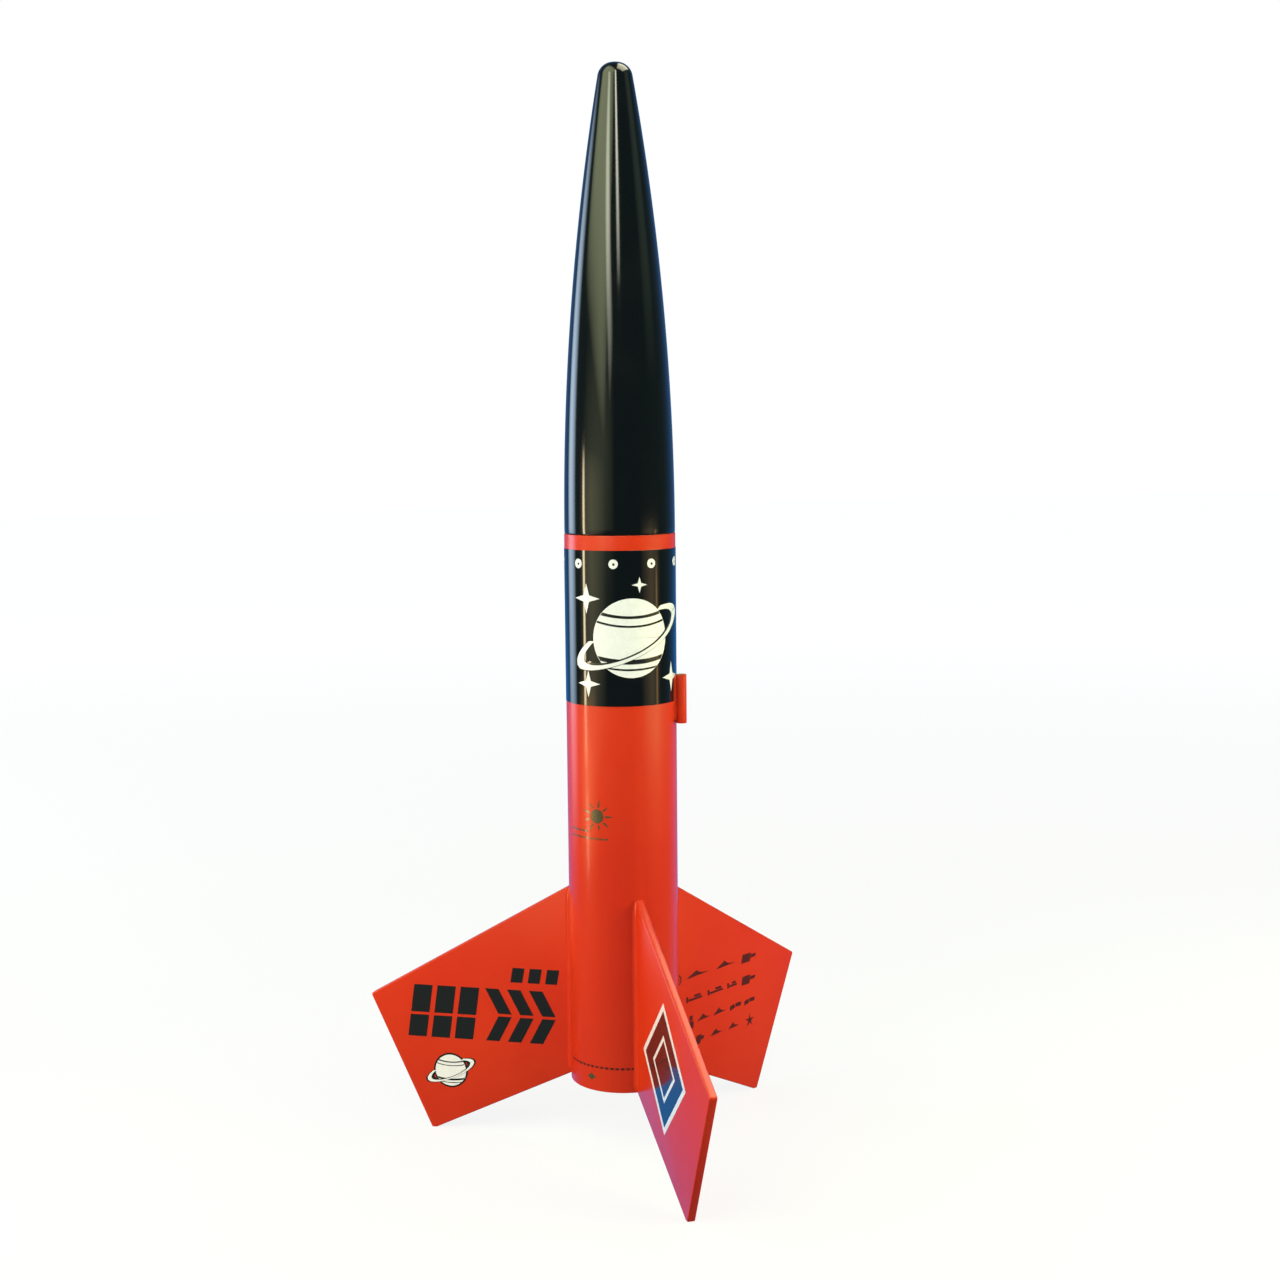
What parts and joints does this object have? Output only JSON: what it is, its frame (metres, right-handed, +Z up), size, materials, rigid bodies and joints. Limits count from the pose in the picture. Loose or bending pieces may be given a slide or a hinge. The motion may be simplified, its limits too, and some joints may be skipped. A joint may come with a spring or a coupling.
{
  "type": "model rocket",
  "caption": "Sport model rocket with a blunt ogive nose cone, paper body tube, swept fins, launch lug, spring-hook motor mount and packed parachute.",
  "frame": {"origin": "centre of the bottom of the rocket's box, on the floor that its three fin tips stand on", "axes": "+Z up along the body tube, -Y towards the front fin, +X towards the side with the launch lug"},
  "size_m": [0.1794, 0.1554, 0.4072],
  "materials": {
    "nose_black": "gloss",
    "moulded_black": "satin",
    "clay": "matte",
    "spring_steel": "satin",
    "brass": "satin",
    "tube_red": "gloss",
    "fin_red": "gloss",
    "kraft_tube": "matte",
    "fibre": "matte",
    "white_paper": "matte",
    "elastic": "matte",
    "canopy_film": "satin",
    "thread": "matte",
    "decal_black": "gloss",
    "decal_white": "gloss",
    "decal_blue": "gloss"
  },
  "bodies": {
    "airframe": {"body_tube": "tube_red", "fin_front": "fin_red", "fin_right": "fin_red", "fin_left": "fin_red", "launch_lug": "tube_red", "motor_tube": "kraft_tube", "thrust_ring": "fibre", "centering_ring_forward": "fibre", "centering_ring_aft": "fibre", "hook_retainer": "kraft_tube", "shock_cord_mount": "white_paper", "shock_cord": "elastic"},
    "hook": {"engine_hook": "spring_steel"},
    "nose": {"nose_cone": "nose_black", "nose_plug": "moulded_black", "nose_weight": "clay", "snap_clip": "spring_steel", "swivel_barrel": "brass"},
    "swivel": {"swivel_eye": "brass"},
    "parachute": {"parachute_canopy": "canopy_film", "shroud_line_winding": "thread", "shroud_line_riser": "thread"}
  },
  "joints": [
    {"name": "nose_slide", "type": "slide", "parent": "airframe", "child": "nose", "axis": [0, 0, 1], "range_m": [0, 0.2], "deforming": ["shock_cord"]},
    {"name": "parachute_slide", "type": "slide", "parent": "nose", "child": "parachute", "axis": [0, 0, 1], "range_m": [-0.1, 0], "deforming": ["shroud_line_riser"]},
    {"name": "swivel_spin", "type": "hinge", "parent": "nose", "child": "swivel", "pos_m": [0, 0.02502, 0.19], "axis": [0, 0, 1], "continuous": true},
    {"name": "hook_flex", "type": "hinge", "parent": "airframe", "child": "hook", "pos_m": [0, 0.03507, 0.0901], "axis": [1, 0, 0], "range_deg": [0, 3], "stiffness_Nm_per_rad": 0.05}
  ],
  "couplings": [
    {"joint": "parachute_slide", "follows": "nose_slide", "ratio": -0.5}
  ]
}
